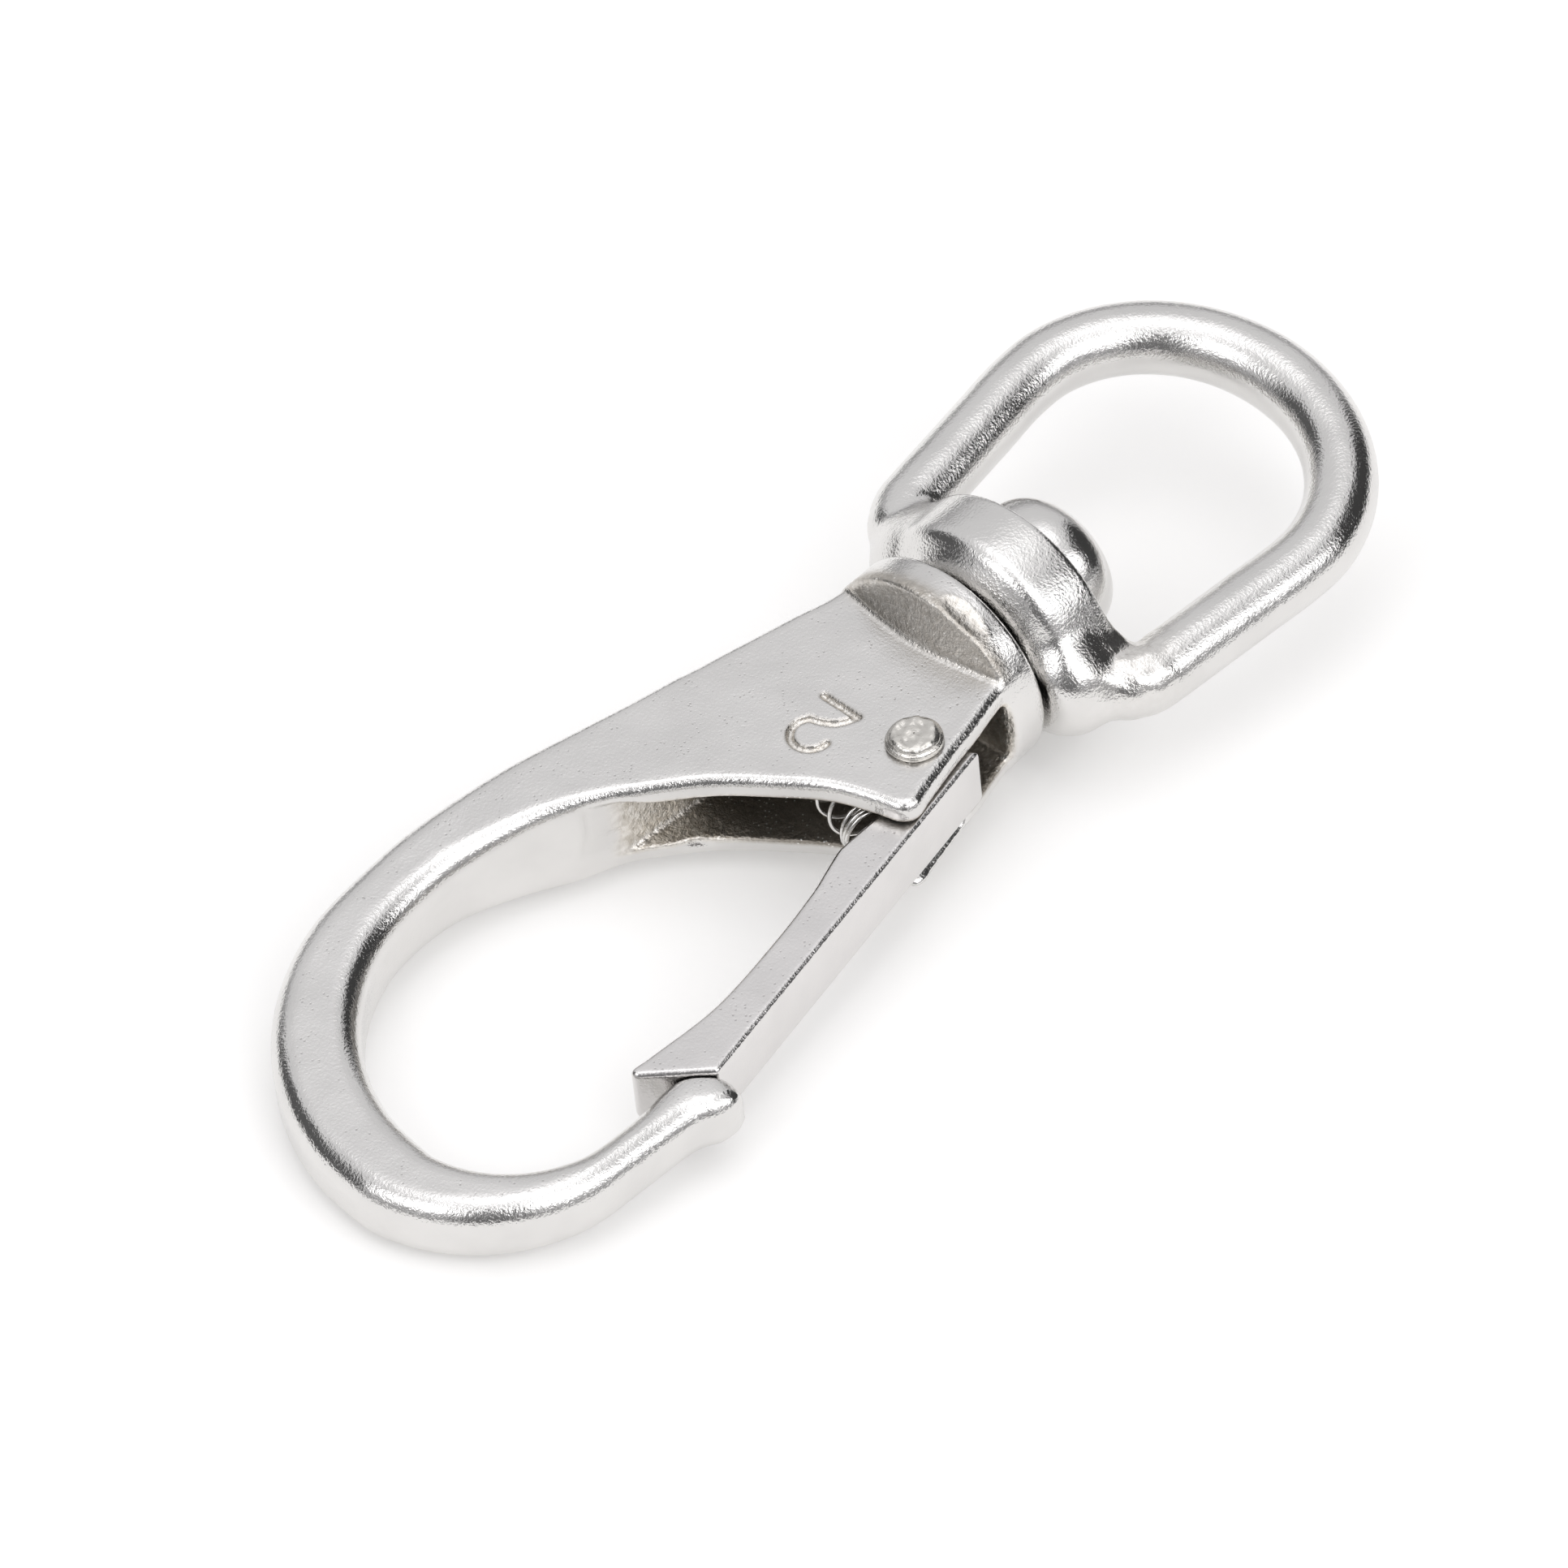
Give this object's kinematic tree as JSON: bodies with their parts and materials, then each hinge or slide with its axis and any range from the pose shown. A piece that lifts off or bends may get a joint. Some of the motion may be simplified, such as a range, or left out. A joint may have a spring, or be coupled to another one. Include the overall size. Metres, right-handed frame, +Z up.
{
  "type": "swivel snap hook",
  "caption": "Cast steel snap hook with a sprung gate and a swivelling round-wire eye, for clipping a line, strap or chain to a ring.",
  "frame": {"origin": "on the ground under the middle of the hook's box as it lies on a flat surface", "axes": "+X along the hook towards the swivel eye, +Y towards the hook's solid back, +Z up off the surface it lies on"},
  "size_m": [0.0945, 0.032, 0.017],
  "materials": {
    "cast_steel": "polished casting, satin flats and bright edges",
    "gate_steel": "tumbled satin",
    "rivet_steel": "hammered ends",
    "spring_steel": "bright drawn wire"
  },
  "bodies": {
    "body": {"hook_body": "cast_steel", "gate_rivet": "rivet_steel", "gate_spring": "spring_steel", "swivel_pin": "cast_steel"},
    "gate": {"gate": "gate_steel"},
    "eye": {"swivel_eye": "cast_steel"}
  },
  "joints": [
    {"name": "swivel", "type": "hinge", "parent": "body", "child": "eye", "pos_m": [0.01304, -0.00022, 0.00807], "axis": [0.9958, 0, 0.0919], "continuous": true},
    {"name": "gate_hinge", "type": "hinge", "parent": "body", "child": "gate", "pos_m": [0.00199, -0.00613, 0.00705], "axis": [0.0919, 0, -0.9958], "range_deg": [0, 38], "stiffness_Nm_per_rad": 0.012, "springref_deg": -49.85, "deforming": ["gate_spring"]}
  ]
}
